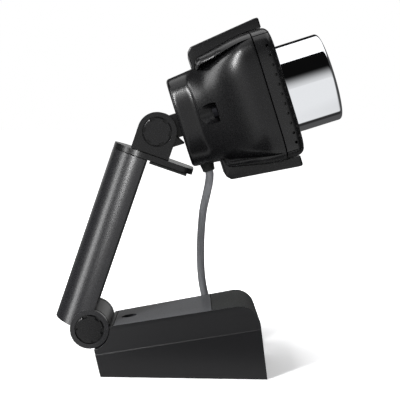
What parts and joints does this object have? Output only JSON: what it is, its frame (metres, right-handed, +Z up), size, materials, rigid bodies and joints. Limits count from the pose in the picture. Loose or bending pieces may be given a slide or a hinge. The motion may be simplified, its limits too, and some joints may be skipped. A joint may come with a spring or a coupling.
{
  "type": "webcam",
  "caption": "Webcam with a chrome focusing barrel, tilting on a folding clip stand with a weighted wedge foot and a USB cord.",
  "frame": {"origin": "middle of the footprint of the model without its cord, on the desk", "axes": "+X the way the lens looks, +Y to the camera's left, +Z up"},
  "size_m": [0.1198, 0.1275, 0.1455],
  "materials": {
    "grey_shell": "moulded, fine satin texture",
    "top_plate": "smooth satin, mid grey",
    "satin_arm": "satin charcoal",
    "rubber": "finely textured, matte",
    "steel": "plain turned and stamped",
    "black_screw": "black oxide",
    "plug_metal": "nickel plated",
    "chrome_ring": "mirror polished",
    "socket_steel": "turned, darkened",
    "lens_glass": "coated",
    "sensor": "glossy",
    "board": "solder mask",
    "cord_jacket": "smooth jacket",
    "plug_jacket": "moulded",
    "bezel": "satin black",
    "black_housing": "satin black"
  },
  "bodies": {
    "arm": {"arm_shell": "satin_arm", "arm_inner_cover": "black_housing", "arm_grip_pad": "rubber", "lip_plate": "satin_arm", "lip_pad": "rubber", "tilt_bracket": "black_housing", "bracket_screw_1": "steel", "bracket_screw_2": "steel", "lower_hinge_pin": "steel", "lower_hinge_cap_left": "black_housing", "lower_hinge_cap_right": "black_housing", "lower_hinge_washer_left": "steel", "lower_hinge_washer_right": "steel", "tilt_hinge_pin": "steel", "tilt_hinge_cap_left": "black_housing", "tilt_hinge_cap_right": "black_housing", "tilt_hinge_washer_left": "steel", "tilt_hinge_washer_right": "steel", "cord_lead": "cord_jacket", "cord_coil": "cord_jacket", "cord_tail": "cord_jacket", "plug_body": "plug_jacket", "plug_shell": "plug_metal"},
    "base": {"base_shell": "grey_shell", "base_top_plate": "top_plate", "base_grip_pad": "rubber", "base_bottom_cover": "black_housing", "base_ballast": "steel", "base_foot_front": "rubber", "base_foot_rear": "rubber", "base_screw_front": "steel", "base_screw_rear": "steel", "tripod_insert": "socket_steel"},
    "head": {"neck_tongue": "black_housing", "neck_retainer": "steel", "rear_cover": "black_housing", "top_slab": "black_housing", "bottom_slab": "black_housing", "front_bezel": "bezel", "grille_left": "bezel", "grille_right": "bezel", "housing_screw_left": "black_screw", "housing_screw_right": "black_screw", "microphone_left": "steel", "microphone_right": "steel", "main_board": "board", "board_screw_1": "steel", "board_screw_2": "steel", "image_sensor": "sensor", "infrared_filter": "lens_glass", "lens_mount": "black_housing", "cord_gland": "rubber"},
    "focus_ring": {"focus_ring": "chrome_ring", "focus_sleeve": "black_housing", "front_window": "lens_glass"},
    "lens_cell": {"lens_barrel": "black_housing", "lens_front_element": "lens_glass", "lens_rear_element": "lens_glass"}
  },
  "joints": [
    {"name": "fold_hinge", "type": "hinge", "parent": "arm", "child": "base", "pos_m": [-0.0446, 0, 0.0193], "axis": [0, -1, 0], "range_deg": [-100, 25]},
    {"name": "tilt_hinge", "type": "hinge", "parent": "arm", "child": "head", "pos_m": [-0.01662, 0, 0.10009], "axis": [0, -1, 0], "range_deg": [0, 90]},
    {"name": "focus_turn", "type": "hinge", "parent": "head", "child": "focus_ring", "pos_m": [0.04525, 0, 0.12002], "axis": [0.9537, 0, 0.3007], "range_deg": [-135, 135]},
    {"name": "focus_travel", "type": "slide", "parent": "head", "child": "lens_cell", "axis": [0.9537, 0, 0.3007], "range_m": [-0.0005, 0.0005]}
  ],
  "couplings": [
    {"joint": "focus_travel", "follows": "focus_turn", "m_per_rad": 0.0002}
  ]
}
